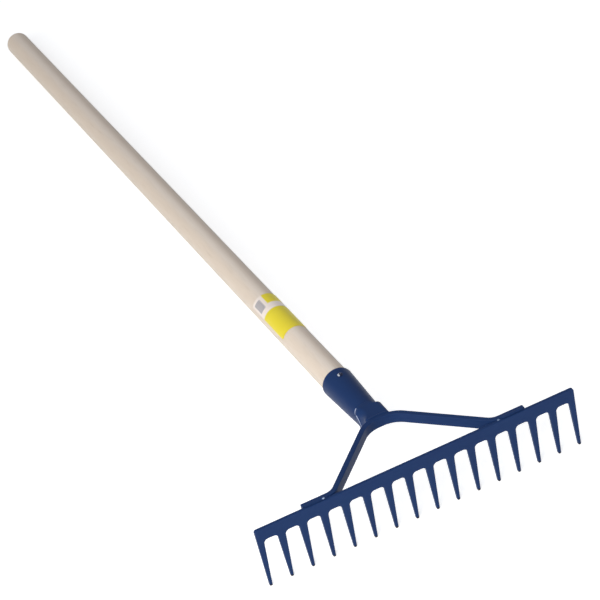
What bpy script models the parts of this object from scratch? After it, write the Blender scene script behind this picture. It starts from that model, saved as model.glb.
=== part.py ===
"""Contractor's rake: a toothed steel plate on a bent bar brace, with a wooden handle in a conical socket.

Frame: X runs along the head, +Y from the tooth plate to the handle's end, and +Z up. The rake lies as it is
put down, on its tooth tips and on the underside of the handle's end, both at Z = 0. The origin is below the
middle of its box. Every size is in metres.
"""
import math

import bmesh
import bpy
from mathutils import Vector

# Clearance left between pieces that touch
SEAT_GAP = 0.0003

# Tooth plate, cut from sheet
HEAD_WIDTH = 0.400
PLATE_HEIGHT = 0.079
PLATE_THICKNESS = 0.004
PLATE_CORNER_RADIUS = 0.003
PLATE_EDGE_RADIUS = 0.0005
SPINE_DEPTH = 0.016
TOOTH_COUNT = 16
END_TOOTH_INSET = 0.0035
TOOTH_ROOT_WIDTH = 0.0096
TOOTH_TIP_WIDTH = 0.0033
TOOTH_TIP_RADIUS = 0.0014
GAP_ROOT_RADIUS = 0.005

# Brace, one flat bar bent flatwise into a V with two feet
BAR_THICKNESS = 0.00635
BAR_WIDTH = 0.0127
BAR_EDGE_RADIUS = 0.0007
BAR_PROUD_OF_PLATE = 0.0007
BRACE_SPAN = 0.2787
BRACE_BEND_SPREAD = 0.1979
BRACE_APEX_SPREAD = 0.0309
BRACE_REACH = 0.08875
BEND_RADIUS = 0.021
APEX_RADIUS = 0.030

# Neck, a solid forging from the brace's apex to the socket: a square-shouldered collar with a round belly,
# drawn out to a flat tongue as deep as the bar
NECK_LENGTH = 0.025
COLLAR_SHOULDER_STEP = 0.0005
COLLAR_STEP = 0.0021
COLLAR_BELLY_STEP = 0.0003
COLLAR_CORNER_RADIUS = 0.0075
COLLAR_EDGE_RADIUS = 0.0012
NECK_TONGUE_WIDTH = 0.030
NECK_TONGUE_CORNER = 0.0035
NECK_TONGUE_LAND = 0.003
NECK_BELLY_POWER = 1.2
NECK_OVERRUN_SHARE = 0.75
SPIGOT_LENGTH = 0.006
SPIGOT_CHAMFER = 0.001

# Socket, a conical sleeve, and the handle in it
SOCKET_LENGTH = 0.090
SOCKET_END_RADIUS = 0.0159
SOCKET_WALL = 0.002
SOCKET_LIP_RADIUS = 0.0006
HANDLE_RADIUS = 0.0175
HANDLE_LENGTH = 1.300
BUTT_LENGTH = 0.012
TENON_CHAMFER = 0.0015

# Nail through the top of the socket
NAIL_FROM_RIM = 0.0155
NAIL_LENGTH = 0.022
NAIL_SHANK_RADIUS = 0.0016
NAIL_HEAD_RADIUS = 0.0031
NAIL_HEAD_HEIGHT = 0.0015
NAIL_POINT_LENGTH = 0.003
NAIL_SEAT = 0.00045

# Paper label over the top of the handle, reaching as far down on one side as on the other
LABEL_FROM_RIM = 0.120
LABEL_LENGTH = 0.095
LABEL_HALF_ANGLE = math.radians(70)
LABEL_THICKNESS = 0.0002

# Weld beads
FOOT_BEAD_WIDTH = 0.0046
FOOT_BEAD_HEIGHT = 0.0011
FOOT_BEAD_LENGTH = 0.029
FOOT_FILLET_LEG = 0.003
NECK_BEAD_WIDTH = 0.0034
NECK_BEAD_HEIGHT = 0.0007
NECK_BEAD_SPAN = 0.024
RING_BEAD_LEG = 0.0008
BEAD_END_SHARE = 0.35
BEAD_FADE_POWER = 8
FILLET_HOLLOW = 0.2

# Fineness of round shapes
TURN_STEPS = 48
NAIL_TURN_STEPS = 24
DOME_STEPS = 8
EDGE_STEPS = 4
COLLAR_EDGE_STEPS = 2
ARC_STEPS = 5
TIP_STEPS = 3
BEND_STEPS = 10
LOFT_STEPS = 10
CORNER_POINTS = 8
BEAD_STEPS = 20
BEAD_ARC_STEPS = 6
SHARP_ANGLE = math.radians(40)
BEVEL_ANGLE = math.radians(50)
FLAT_ANGLE = math.radians(1)
MERGE_DISTANCE = 0.000001
POLE_MERGE_DISTANCE = 0.00001

# Places that follow from the sizes, with Y counted from the plate's front face
TOOTH_PITCH = (HEAD_WIDTH - 2 * END_TOOTH_INSET) / (TOOTH_COUNT - 1)
BAR_TOP = PLATE_HEIGHT + BAR_PROUD_OF_PLATE
BAR_UNDERSIDE = BAR_TOP - BAR_WIDTH
BAR_FRONT = PLATE_THICKNESS + SEAT_GAP
APEX_FRONT = BAR_FRONT + BRACE_REACH
APEX_BACK = APEX_FRONT + BAR_THICKNESS
COLLAR_HALF_WIDTH = SOCKET_END_RADIUS + COLLAR_SHOULDER_STEP
COLLAR_RISE = SOCKET_END_RADIUS + COLLAR_STEP
COLLAR_BELLY = SOCKET_END_RADIUS + COLLAR_BELLY_STEP
COLLAR_Y = APEX_BACK + NECK_LENGTH
AXIS_Z = BAR_TOP - COLLAR_RISE
RIM_RADIUS = HANDLE_RADIUS + SEAT_GAP + SOCKET_WALL
SOCKET_SLOPE = (RIM_RADIUS - SOCKET_END_RADIUS) / SOCKET_LENGTH
RIM_S = SEAT_GAP + SOCKET_LENGTH
TENON_END_S = SPIGOT_LENGTH + SEAT_GAP
HANDLE_END_S = TENON_END_S + HANDLE_LENGTH


def handle_tilt():
    """Angle by which the handle falls from the neck, so that its end's underside meets Z = 0."""
    run = HANDLE_END_S - BUTT_LENGTH
    return math.asin(AXIS_Z / math.hypot(run, HANDLE_RADIUS)) - math.atan2(HANDLE_RADIUS, run)


TILT = handle_tilt()
OVERALL_LENGTH = COLLAR_Y + HANDLE_END_S * math.cos(TILT)


def clear_scene():
    for obj in list(bpy.data.objects):
        bpy.data.objects.remove(obj, do_unlink=True)


def new_collection(name, hidden=False):
    collection = bpy.data.collections.new(name)
    bpy.context.scene.collection.children.link(collection)
    collection.hide_render = hidden
    return collection


def material(name, rgb, roughness, metallic=0.0):
    made = bpy.data.materials.new(name)
    made.use_nodes = True
    shader = made.node_tree.nodes["Principled BSDF"]
    shader.inputs["Base Color"].default_value = (*rgb, 1.0)
    shader.inputs["Roughness"].default_value = roughness
    shader.inputs["Metallic"].default_value = metallic
    return made


def add_object(name, data, collection, parent, finish=None):
    obj = bpy.data.objects.new(name, data)
    collection.objects.link(obj)
    obj.parent = parent
    if finish:
        data.materials.append(finish)
    return obj


def hide_helper(obj):
    obj.hide_render = True
    obj.display_type = "WIRE"


# Outlines and paths


def corner_arc(corner, before, after, radius, steps):
    """Points and unit spokes of the arc that rounds a corner, from the side of before to that of after."""
    to_before = (before - corner).normalized()
    to_after = (after - corner).normalized()
    half = to_before.angle(to_after) / 2
    centre = corner + (to_before + to_after).normalized() * (radius / math.sin(half))
    reach = radius / math.tan(half)
    first = (corner + to_before * reach - centre).normalized()
    last = (corner + to_after * reach - centre).normalized()
    spokes = [first.slerp(last, step / steps) for step in range(steps + 1)]
    return [(centre + spoke * radius, spoke) for spoke in spokes]


def rounded_outline(corners):
    """Closed outline through corners, each an (x, y, radius, steps)."""
    places = [Vector(corner[:2]) for corner in corners]
    points = []
    for index, (_, _, radius, steps) in enumerate(corners):
        before, after = places[index - 1], places[(index + 1) % len(places)]
        points += [point for point, _ in corner_arc(places[index], before, after, radius, steps)]
    return points


def outline_mesh(name, points, thickness):
    """Flat plate of this outline, centred on its plane: a filled curve made a mesh with whole faces."""
    curve = bpy.data.curves.new(name, "CURVE")
    curve.dimensions = "2D"
    curve.fill_mode = "BOTH"
    curve.extrude = thickness / 2
    spline = curve.splines.new("POLY")
    spline.points.add(len(points) - 1)
    for spot, point in zip(spline.points, points):
        spot.co = (point[0], point[1], 0.0, 1.0)
    spline.use_cyclic_u = True
    drawn = bpy.data.objects.new(name + "_outline", curve)
    bpy.context.scene.collection.objects.link(drawn)
    graph = bpy.context.evaluated_depsgraph_get()
    mesh = bpy.data.meshes.new_from_object(drawn.evaluated_get(graph))
    bpy.data.objects.remove(drawn, do_unlink=True)
    mesh.name = name
    mesh.materials.clear()
    shape = bmesh.new()
    shape.from_mesh(mesh)
    bmesh.ops.remove_doubles(shape, verts=shape.verts, dist=MERGE_DISTANCE)
    bmesh.ops.dissolve_limit(shape, angle_limit=FLAT_ANGLE, verts=shape.verts, edges=shape.edges)
    bmesh.ops.recalc_face_normals(shape, faces=shape.faces)
    shape.to_mesh(mesh)
    shape.free()
    return mesh


def round_edges(obj, radius, segments=2):
    bevel = obj.modifiers.new("rounded_edges", "BEVEL")
    bevel.width = radius
    bevel.segments = segments
    bevel.limit_method = "ANGLE"
    bevel.angle_limit = BEVEL_ANGLE
    bevel.use_clamp_overlap = False


def cut(obj, cutter):
    boolean = obj.modifiers.new(cutter.name, "BOOLEAN")
    boolean.operation = "DIFFERENCE"
    boolean.solver = "EXACT"
    boolean.object = cutter


def quarter(width, height, steps):
    """Quarter of an ellipse, from its top on the axis to its side, as (across, up)."""
    angles = [math.pi / 2 * step / steps for step in range(steps + 1)]
    return [(width * math.sin(angle), height * math.cos(angle)) for angle in angles]


def turned(name, profile, collection, parent, finish=None, steps=TURN_STEPS, sweep=2 * math.pi):
    """Shape turned about its own Z axis from a profile of (radius, z) points, given from top to bottom."""
    mesh = bpy.data.meshes.new(name)
    mesh.from_pydata([(r, 0.0, z) for r, z in profile], [(i, i + 1) for i in range(len(profile) - 1)], [])
    obj = add_object(name, mesh, collection, parent, finish)
    screw = obj.modifiers.new("turning", "SCREW")
    screw.axis = "Z"
    screw.angle = sweep
    screw.steps = steps
    screw.render_steps = steps
    screw.use_merge_vertices = True
    screw.merge_threshold = POLE_MERGE_DISTANCE
    screw.use_smooth_shade = True
    return obj


def ring_loft(name, rings):
    """Closed skin over rings of equally many points, with a cap on the first and the last ring."""
    count = len(rings[0])
    faces = [list(range(count))[::-1], [(len(rings) - 1) * count + i for i in range(count)]]
    for low in range(0, (len(rings) - 1) * count, count):
        for i in range(count):
            j = (i + 1) % count
            faces.append([low + i, low + j, low + count + j, low + count + i])
    mesh = bpy.data.meshes.new(name)
    mesh.from_pydata([point for ring in rings for point in ring], [], faces)
    shape = bmesh.new()
    shape.from_mesh(mesh)
    bmesh.ops.recalc_face_normals(shape, faces=shape.faces)
    shape.to_mesh(mesh)
    shape.free()
    mesh.shade_smooth()
    mesh.set_sharp_from_angle(angle=SHARP_ANGLE)
    return mesh


# Tooth plate


def tooth_outline():
    """Plate outline in X and Z: a straight spine with tapered teeth below, and rounded roots between them."""
    root_z = PLATE_HEIGHT - SPINE_DEPTH
    half_tip, half_root = TOOTH_TIP_WIDTH / 2, TOOTH_ROOT_WIDTH / 2
    half_width = HEAD_WIDTH / 2
    corners = [(-half_width, PLATE_HEIGHT, PLATE_CORNER_RADIUS, TIP_STEPS)]
    for tooth in range(TOOTH_COUNT):
        x = END_TOOTH_INSET - half_width + tooth * TOOTH_PITCH
        if tooth > 0:
            corners.append((x - half_root, root_z, GAP_ROOT_RADIUS, ARC_STEPS))
        corners.append((x - half_tip, 0.0, TOOTH_TIP_RADIUS, TIP_STEPS))
        corners.append((x + half_tip, 0.0, TOOTH_TIP_RADIUS, TIP_STEPS))
        if tooth < TOOTH_COUNT - 1:
            corners.append((x + half_root, root_z, GAP_ROOT_RADIUS, ARC_STEPS))
    corners.append((half_width, PLATE_HEIGHT, PLATE_CORNER_RADIUS, TIP_STEPS))
    return rounded_outline(corners)


def make_tooth_plate(collection, parent, finish):
    mesh = outline_mesh("tooth_plate", tooth_outline(), PLATE_THICKNESS)
    plate = add_object("tooth_plate", mesh, collection, parent, finish)
    plate.rotation_euler.x = math.pi / 2
    plate.location.y = PLATE_THICKNESS / 2
    round_edges(plate, PLATE_EDGE_RADIUS)


# Brace


def brace_path():
    """Front face of the bar in plan, from the left foot to the right, as (point, direction to the back)."""
    foot, bend, apex = BRACE_SPAN / 2, BRACE_BEND_SPREAD / 2, BRACE_APEX_SPREAD / 2
    corners = [(-foot, BAR_FRONT), (-bend, BAR_FRONT), (-apex, APEX_FRONT),
               (apex, APEX_FRONT), (bend, BAR_FRONT), (foot, BAR_FRONT)]
    places = [Vector(corner) for corner in corners]
    radii = [BEND_RADIUS, APEX_RADIUS, APEX_RADIUS, BEND_RADIUS]
    inward = [-1, 1, 1, -1]
    backwards = Vector((0.0, 1.0))
    path = [(places[0], backwards)]
    for index, (radius, side) in enumerate(zip(radii, inward), start=1):
        arc = corner_arc(places[index], places[index - 1], places[index + 1], radius, BEND_STEPS)
        path += [(point, spoke * side) for point, spoke in arc]
    path.append((places[-1], backwards))
    return path


def bar_outline(ahead, behind):
    """Outline in plan of the bar, grown by ahead in front of its front face and ending behind it."""
    path = brace_path()
    front = [point - normal * ahead for point, normal in path]
    back = [point + normal * behind for point, normal in path]
    return front + back[::-1]


def make_brace(collection, parent, finish):
    mesh = outline_mesh("brace_bar", bar_outline(0.0, BAR_THICKNESS), BAR_WIDTH)
    brace = add_object("brace_bar", mesh, collection, parent, finish)
    brace.location.z = BAR_TOP - BAR_WIDTH / 2
    round_edges(brace, BAR_EDGE_RADIUS)


# Neck


def neck_section(half_width, top, bottom, top_radius, bottom_radius):
    """Rounded rectangle of (x, height) points, with CORNER_POINTS on each corner's arc."""
    points = []
    for corner in range(4):
        upper, right = corner in (0, 1), corner in (0, 3)
        radius = top_radius if upper else bottom_radius
        centre_x = (half_width - radius) * (1 if right else -1)
        centre_h = top - radius if upper else bottom + radius
        for step in range(CORNER_POINTS):
            angle = math.pi / 2 * (corner + (step + 0.5) / CORNER_POINTS)
            points.append((centre_x + radius * math.cos(angle), centre_h + radius * math.sin(angle)))
    return points


def neck_ring(section, y, tilt):
    """Section stood at y on the handle's axis height, leaning back by tilt."""
    return [(x, y + h * math.sin(tilt), AXIS_Z + h * math.cos(tilt)) for x, h in section]


def round_ring(radius, s):
    """Circle about the handle's axis, s beyond the collar's back face."""
    middle = (COLLAR_Y + s * math.cos(TILT), AXIS_Z - s * math.sin(TILT))
    section = neck_section(radius, radius, -radius, radius, radius)
    return [(x, middle[0] + h * math.sin(TILT), middle[1] + h * math.cos(TILT)) for x, h in section]


def neck_rings():
    """Spigot, collar with a rounded back edge, and the loft from it to the flat tongue at the brace."""
    spigot_radius = SOCKET_END_RADIUS - SOCKET_WALL - SEAT_GAP
    rings = [round_ring(spigot_radius - SPIGOT_CHAMFER, SPIGOT_LENGTH),
             round_ring(spigot_radius, SPIGOT_LENGTH - SPIGOT_CHAMFER),
             round_ring(spigot_radius, 0.0)]
    for outward, back in quarter(COLLAR_EDGE_RADIUS, COLLAR_EDGE_RADIUS, COLLAR_EDGE_STEPS):
        inset = COLLAR_EDGE_RADIUS - outward
        section = neck_section(COLLAR_HALF_WIDTH - inset, COLLAR_RISE - inset, inset - COLLAR_BELLY,
                               COLLAR_CORNER_RADIUS - inset, COLLAR_BELLY - inset)
        rings.append(neck_ring(section, COLLAR_Y - COLLAR_EDGE_RADIUS + back, TILT))
    start, end = COLLAR_Y - COLLAR_EDGE_RADIUS, APEX_BACK + NECK_TONGUE_LAND
    for step in range(1, LOFT_STEPS + 1):
        along = step / LOFT_STEPS
        ease = along * along * (3 - 2 * along)
        belly = along ** NECK_BELLY_POWER
        half_width = COLLAR_HALF_WIDTH + (NECK_TONGUE_WIDTH / 2 - COLLAR_HALF_WIDTH) * ease
        section = neck_section(half_width, COLLAR_RISE,
                               (BAR_UNDERSIDE - AXIS_Z + COLLAR_BELLY) * belly - COLLAR_BELLY,
                               COLLAR_CORNER_RADIUS + (NECK_TONGUE_CORNER - COLLAR_CORNER_RADIUS) * ease,
                               COLLAR_BELLY + (NECK_TONGUE_CORNER - COLLAR_BELLY) * ease)
        rings.append(neck_ring(section, start + (end - start) * along, TILT * (1 - along)))
    rings.append(neck_ring(section, APEX_BACK - NECK_OVERRUN_SHARE * BAR_THICKNESS, 0.0))
    return rings


def make_neck(collection, cutters, parent, finish):
    neck = add_object("neck", ring_loft("neck", neck_rings()), collection, parent, finish)
    room = outline_mesh("brace_room", bar_outline(BAR_THICKNESS, BAR_THICKNESS + SEAT_GAP), 2 * COLLAR_RISE)
    cutter = add_object("brace_room", room, cutters, parent)
    cutter.location.z = BAR_TOP - BAR_WIDTH / 2
    hide_helper(cutter)
    cut(neck, cutter)


# Socket, handle and nail, all about the handle's axis


def socket_radius(s):
    return SOCKET_END_RADIUS + SOCKET_SLOPE * (s - SEAT_GAP)


def make_socket(collection, parent, finish):
    lip = SOCKET_LIP_RADIUS
    outer_rim, outer_end = socket_radius(RIM_S), socket_radius(SEAT_GAP)
    rim_arc = [(outer_rim - lip + across, RIM_S - lip + up) for across, up in quarter(lip, lip, EDGE_STEPS)]
    profile = [(outer_rim - SOCKET_WALL, RIM_S), *rim_arc, (outer_end, SEAT_GAP),
               (outer_end - SOCKET_WALL, SEAT_GAP), (outer_rim - SOCKET_WALL, RIM_S)]
    return turned("socket", profile, collection, parent, finish)


def make_handle(collection, parent, finish):
    """Round stock with a domed butt, tapered where it lies in the socket."""
    butt_start = HANDLE_END_S - BUTT_LENGTH
    dome = [(across, butt_start + up) for across, up in quarter(HANDLE_RADIUS, BUTT_LENGTH, DOME_STEPS)]
    tenon_radius = socket_radius(TENON_END_S) - SOCKET_WALL - SEAT_GAP
    profile = [*dome, (HANDLE_RADIUS, RIM_S), (tenon_radius, TENON_END_S + TENON_CHAMFER),
               (tenon_radius - TENON_CHAMFER, TENON_END_S), (0.0, TENON_END_S)]
    return turned("handle", profile, collection, parent, finish)


def nail_profile(grow):
    """Nail about its own axis, head up and the underside of its head at zero, grown by a clearance."""
    shank = NAIL_SHANK_RADIUS + grow
    point = NAIL_LENGTH + grow
    dome = quarter(NAIL_HEAD_RADIUS, NAIL_HEAD_HEIGHT, EDGE_STEPS)
    return [*dome, (NAIL_HEAD_RADIUS - SEAT_GAP, -SEAT_GAP / 2), (shank, 0.0),
            (shank, NAIL_POINT_LENGTH - point), (0.0, -point)]


def place_nail(obj):
    """Stands the nail on the top of the socket, square to its wall."""
    s = RIM_S - NAIL_FROM_RIM
    obj.location = (0.0, -(socket_radius(s) + NAIL_SEAT), s)
    obj.rotation_euler.x = math.pi / 2 + math.atan(SOCKET_SLOPE)


def make_nail(collection, cutters, parent, finish, pierced):
    place_nail(turned("socket_nail", nail_profile(0.0), collection, parent, finish, steps=NAIL_TURN_STEPS))
    hole = turned("nail_hole", nail_profile(SEAT_GAP), cutters, parent, steps=NAIL_TURN_STEPS)
    place_nail(hole)
    hide_helper(hole)
    for obj in pierced:
        cut(obj, hole)


def make_label(collection, parent, finish):
    """Paper wrapped part of the way round the handle, centred on its top."""
    radius = HANDLE_RADIUS + SEAT_GAP
    low = RIM_S + LABEL_FROM_RIM
    label = turned("label", [(radius, low + LABEL_LENGTH), (radius, low)], collection, parent, finish,
                   steps=TURN_STEPS // 2, sweep=2 * LABEL_HALF_ANGLE)
    label.rotation_euler.z = -math.pi / 2 - LABEL_HALF_ANGLE
    paper = label.modifiers.new("paper", "SOLIDIFY")
    paper.thickness = LABEL_THICKNESS
    paper.offset = 1.0


# Weld beads


def bead_section(width, height, step):
    """Bead across its seam: domed on top, and flat below with a drop of step under its front half."""
    half = width / 2
    below = [(half, 0.0), (0.0, 0.0), (0.0, -step), (-half, -step)] if step else [(half, 0.0), (-half, 0.0)]
    dome = []
    for index in range(1, BEAD_ARC_STEPS):
        angle = math.pi * index / BEAD_ARC_STEPS
        dome.append((-half * math.cos(angle), height * math.sin(angle)))
    return below + dome


def fillet_section(leg):
    """Bead in a corner: two legs that meet at the corner, and a slightly hollow face between them."""
    face = []
    for index in range(BEAD_ARC_STEPS + 1):
        angle = math.pi / 2 * index / BEAD_ARC_STEPS
        reach = leg * (1 - FILLET_HOLLOW * (1 - abs(math.cos(2 * angle))))
        face.append((reach * math.cos(angle), -reach * math.sin(angle)))
    return [(0.0, 0.0), *face]


def bead_mesh(name, seam, section):
    """Section carried along a seam of (point, direction to the back), fading at both ends."""
    rings = []
    for index, (point, backwards) in enumerate(seam):
        along = 2 * index / (len(seam) - 1) - 1
        size = max(BEAD_END_SHARE, math.sqrt(1 - along ** BEAD_FADE_POWER))
        rings.append([(point[0] + backwards[0] * across * size, point[1] + backwards[1] * across * size,
                       point[2] + up * size) for across, up in section])
    return ring_loft(name, rings)


def make_foot_beads(collection, parent, finish):
    """Each foot is welded to the plate along its top edge and in the corner below it."""
    end = BRACE_SPAN / 2 - FOOT_FILLET_LEG / 2
    top = bead_section(FOOT_BEAD_WIDTH, FOOT_BEAD_HEIGHT, BAR_PROUD_OF_PLATE)
    under = fillet_section(FOOT_FILLET_LEG)
    for side, word in ((-1, "left"), (1, "right")):
        for place, y, z, section in (("top", PLATE_THICKNESS, BAR_TOP + SEAT_GAP, top),
                                     ("under", BAR_FRONT, BAR_UNDERSIDE - SEAT_GAP, under)):
            seam = []
            for index in range(BEAD_STEPS + 1):
                x = side * (end - FOOT_BEAD_LENGTH * index / BEAD_STEPS)
                seam.append(((x, y, z), (0.0, 1.0)))
            name = f"weld_foot_{word}_{place}"
            add_object(name, bead_mesh(name, seam, section), collection, parent, finish)


def make_neck_beads(collection, parent, finish):
    """The neck's tongue is welded to the back of the brace along the top and the underside of the seam."""
    seam_arc = []
    for point, normal in brace_path():
        place = point + normal * (BAR_THICKNESS + SEAT_GAP / 2)
        if abs(place.x) <= NECK_BEAD_SPAN / 2:
            seam_arc.append((place, normal))
    for word, z, flip in (("top", BAR_TOP + SEAT_GAP, 1), ("under", BAR_UNDERSIDE - SEAT_GAP, -1)):
        section = [(across, up * flip) for across, up in bead_section(NECK_BEAD_WIDTH, NECK_BEAD_HEIGHT, 0)]
        seam = [((place.x, place.y, z), normal) for place, normal in seam_arc]
        name = f"weld_neck_{word}"
        add_object(name, bead_mesh(name, seam, section), collection, parent, finish)


def make_socket_bead(collection, parent, finish):
    """Ring fillet round the socket's end, up against the neck's collar."""
    leg = RING_BEAD_LEG
    low, high = SEAT_GAP, SEAT_GAP + leg
    inner_low, inner_high = socket_radius(low) + SEAT_GAP, socket_radius(high) + SEAT_GAP
    face = [(inner_low + across, low + up) for across, up in quarter(leg, leg, EDGE_STEPS)[1:]]
    profile = [(inner_high, high), *face, (inner_low, low), (inner_high, high)]
    turned("weld_socket", profile, collection, parent, finish)


def main():
    clear_scene()
    rake = new_collection("contractor_rake")
    cutters = new_collection("cutters", hidden=True)
    root = add_object("rake_frame", None, rake, None)
    root.location.y = -OVERALL_LENGTH / 2
    axis = add_object("handle_axis", None, rake, root)
    axis.location = (0.0, COLLAR_Y, AXIS_Z)
    axis.rotation_euler.x = -(math.pi / 2 + TILT)

    blue = material("blue_enamel", (0.018, 0.048, 0.155), 0.38)
    wood = material("turned_hardwood", (0.66, 0.57, 0.46), 0.6)
    steel = material("painted_nail", (0.03, 0.06, 0.16), 0.35, 0.2)
    paper = material("printed_paper", (0.85, 0.70, 0.05), 0.45)

    make_tooth_plate(rake, root, blue)
    make_brace(rake, root, blue)
    make_neck(rake, cutters, root, blue)
    socket = make_socket(rake, axis, blue)
    handle = make_handle(rake, axis, wood)
    make_nail(rake, cutters, axis, steel, (socket, handle))
    make_label(rake, axis, paper)
    make_foot_beads(rake, root, blue)
    make_neck_beads(rake, root, blue)
    make_socket_bead(rake, axis, blue)


main()
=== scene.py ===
# %% [markdown]
# # The looks of a contractor's rake
#
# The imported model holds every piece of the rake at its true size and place. This lesson keeps it as a fixed
# frame. It lays finer surfaces over it, worked out with numpy, and gives each one the finish of the real
# thing: navy enamel on steel, pale turned ash, and a printed paper label. Then it sets up the camera and
# the light.

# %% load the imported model
import math

import bmesh
import bpy
import numpy as np
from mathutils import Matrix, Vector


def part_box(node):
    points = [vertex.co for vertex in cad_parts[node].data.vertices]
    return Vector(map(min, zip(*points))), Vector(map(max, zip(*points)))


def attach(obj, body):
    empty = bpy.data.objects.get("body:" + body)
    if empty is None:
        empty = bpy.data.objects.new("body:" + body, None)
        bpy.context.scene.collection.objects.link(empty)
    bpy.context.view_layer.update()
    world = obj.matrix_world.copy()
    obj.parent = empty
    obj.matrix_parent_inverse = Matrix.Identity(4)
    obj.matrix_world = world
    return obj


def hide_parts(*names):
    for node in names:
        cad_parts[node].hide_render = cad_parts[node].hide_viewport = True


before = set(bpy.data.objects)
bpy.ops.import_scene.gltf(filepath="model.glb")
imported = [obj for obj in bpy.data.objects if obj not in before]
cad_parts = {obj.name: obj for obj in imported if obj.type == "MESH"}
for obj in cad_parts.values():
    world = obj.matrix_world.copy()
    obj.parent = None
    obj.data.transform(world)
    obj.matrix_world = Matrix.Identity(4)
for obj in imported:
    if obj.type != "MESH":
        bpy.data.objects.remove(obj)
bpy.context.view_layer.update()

print("nodes:", ", ".join(sorted(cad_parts)))

# %% [markdown]
# ## The camera
#
# The photograph looks down on the head from the front and a little to the left, with a long lens. Its place
# was found by matching the tooth tips, the plate's corners and the socket's rim to the picture. A camera
# looks along its own -Z with +Y up, so three angles about fixed X, Y and Z axes turn it.

# %% camera
CAMERA_PLACE = (-0.7285, -2.7770, 1.7596)
CAMERA_ANGLES = (55.869, 11.201, -24.749)
CAMERA_LENS, CAMERA_SENSOR = 149.7, 36.0

camera = bpy.data.objects.new("camera", bpy.data.cameras.new("camera"))
bpy.context.scene.collection.objects.link(camera)
camera.location = CAMERA_PLACE
camera.rotation_euler = [math.radians(angle) for angle in CAMERA_ANGLES]
camera.data.lens = CAMERA_LENS
camera.data.sensor_width = CAMERA_SENSOR
bpy.context.scene.camera = camera
print("camera at", CAMERA_PLACE, "with a", CAMERA_LENS, "mm lens")

# %% [markdown]
# ## The sizes that the finer surfaces follow
#
# A finer surface has to lie exactly where the plain one does, so it is worked out from the same sizes. The
# front of the tooth plate is read from the frame, and every other place is counted from there. GAP is the
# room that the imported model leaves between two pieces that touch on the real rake.

# %% sizes of the head, in metres
GAP = 0.0003
PLATE_THICKNESS = 0.004
BAR_THICKNESS, BAR_WIDTH, BAR_TOP = 0.00635, 0.0127, 0.0797
BRACE_REACH, NECK_LENGTH = 0.08875, 0.025

plate_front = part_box("tooth_plate")[0].y
bar_front = plate_front + PLATE_THICKNESS + GAP
apex_front = bar_front + BRACE_REACH
apex_back = apex_front + BAR_THICKNESS
print(f"the bar's apex ends at y = {apex_back * 1000:.2f} mm")

# %% [markdown]
# ## How the rake lies
#
# The rake lies on its tooth tips and on the underside of the handle's end, so the handle falls a little
# from the head to that end. Its tilt follows from the height of its axis at the head, its radius and its
# length. Everything about the handle is then counted in its own directions: away from the head, above and
# to a side.

# %% sizes about the handle's axis, in metres
SOCKET_END_RADIUS, SOCKET_RIM_RADIUS, SOCKET_LENGTH, SOCKET_WALL = 0.0159, 0.0198, 0.090, 0.002
HANDLE_RADIUS, HANDLE_LENGTH, BUTT_LENGTH = 0.0175, 1.300, 0.012
COLLAR_RISE, SPIGOT_LENGTH = 0.018, 0.006

rim_s = GAP + SOCKET_LENGTH
tenon_end_s = SPIGOT_LENGTH + GAP
handle_end_s = tenon_end_s + HANDLE_LENGTH
axis_height = BAR_TOP - COLLAR_RISE
run = handle_end_s - BUTT_LENGTH
tilt = math.asin(axis_height / math.hypot(run, HANDLE_RADIUS)) - math.atan2(HANDLE_RADIUS, run)
print(f"the handle falls by {math.degrees(tilt):.3f} degrees over {handle_end_s * 1000:.1f} mm")

# %% the handle's own directions
COLLAR = np.array([0.0, apex_back + NECK_LENGTH, axis_height])
SIDE = np.array([1.0, 0.0, 0.0])
AWAY = np.array([0.0, math.cos(tilt), -math.sin(tilt)])
ABOVE = np.array([0.0, math.sin(tilt), math.cos(tilt)])


def about_axis(radius, turn, s):
    """Points about the handle's axis: s from the collar along it, then radius out from it.

    The direction out is ABOVE times the cosine of turn, plus SIDE times its sine.
    """
    radius, turn, s = (value[..., None] for value in np.broadcast_arrays(radius, turn, s))
    return COLLAR + s * AWAY + radius * (np.cos(turn) * ABOVE + np.sin(turn) * SIDE)


def socket_radius(s):
    """Outer radius of the socket, which grows in a straight line from its end to its rim."""
    return SOCKET_END_RADIUS + (SOCKET_RIM_RADIUS - SOCKET_END_RADIUS) * (s - GAP) / SOCKET_LENGTH


print("the top of the socket's rim is at", about_axis(socket_radius(rim_s), 0.0, rim_s).round(4))

# %% [markdown]
# ## From an array to a mesh
#
# Every new surface here is a grid: an array of points with one row per step along it and one column per
# step around it. Each four neighbours make a face. The columns close on themselves, and the rows of a
# sleeve or a ring do so too. On other pieces a cap closes each end, or the end row shrinks to a point or a
# line. Corners that lie on the same point are merged, so that the surface is closed.

# %% grid surface
MERGE_DISTANCE = 1e-7


def grid_faces(rows, columns, along):
    """Corner numbers of the faces.

    Each joins a point, the next column's point, that one's next in its column, and the first one's.
    """
    number = np.arange(rows * columns).reshape(rows, columns)
    ahead, beside = np.roll(number, -1, axis=0), np.roll(number, -1, axis=1)
    quads = np.stack([number, beside, np.roll(ahead, -1, axis=1), ahead], axis=-1)
    return quads[: rows if along else rows - 1].reshape(-1, 4)


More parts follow.
